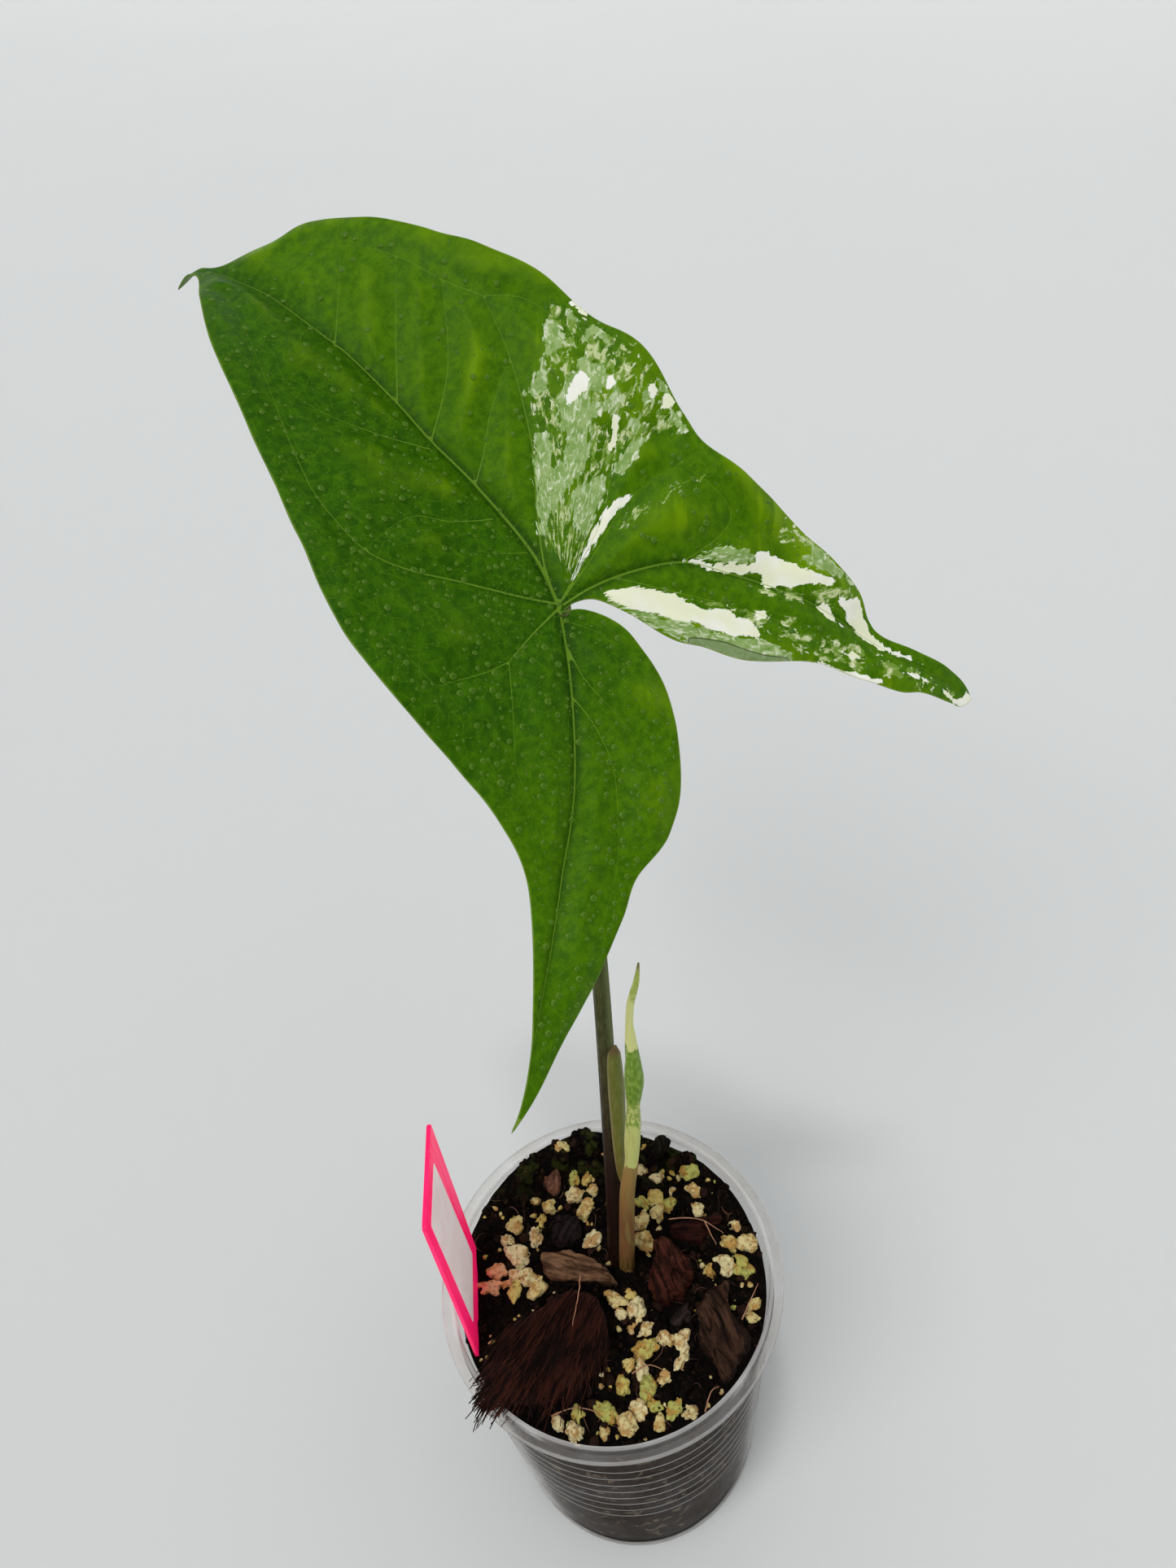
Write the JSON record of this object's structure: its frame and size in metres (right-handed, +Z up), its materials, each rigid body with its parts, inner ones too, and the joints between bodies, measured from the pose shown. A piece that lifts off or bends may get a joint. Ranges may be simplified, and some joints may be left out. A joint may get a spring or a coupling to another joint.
{
  "type": "potted arrowhead plant",
  "caption": "Young arrowhead plant with a large arrow-shaped variegated leaf and a rolled new leaf, in a clear ribbed nursery cup of bark, pumice and soil.",
  "frame": {"origin": "middle of the cup's flat underside, on the surface that the pot stands on", "axes": "+Z up along the cup's axis, +Y away from the side that the plant is seen from, +X to the right, towards the long right lobe of the leaf"},
  "size_m": [0.1251, 0.1281, 0.2575],
  "materials": {
    "cup_plastic": "satin",
    "soil": "matte",
    "leaf": "satin",
    "stalk": "satin",
    "new_leaf": "satin",
    "card": "matte",
    "coir": "matte",
    "bark": "matte"
  },
  "bodies": {
    "root": {"cup": "cup_plastic", "soil": "soil", "leaf_blade": "leaf", "leaf_stalk": "stalk", "new_leaf": "new_leaf", "plant_card": "card", "coir_chunk": "coir", "bark_long": "bark", "bark_nugget": "bark", "bark_slab": "bark", "bark_small": "bark", "bark_back": "bark", "bark_left": "bark", "bark_flake": "bark", "bark_stub": "bark"}
  },
  "joints": []
}
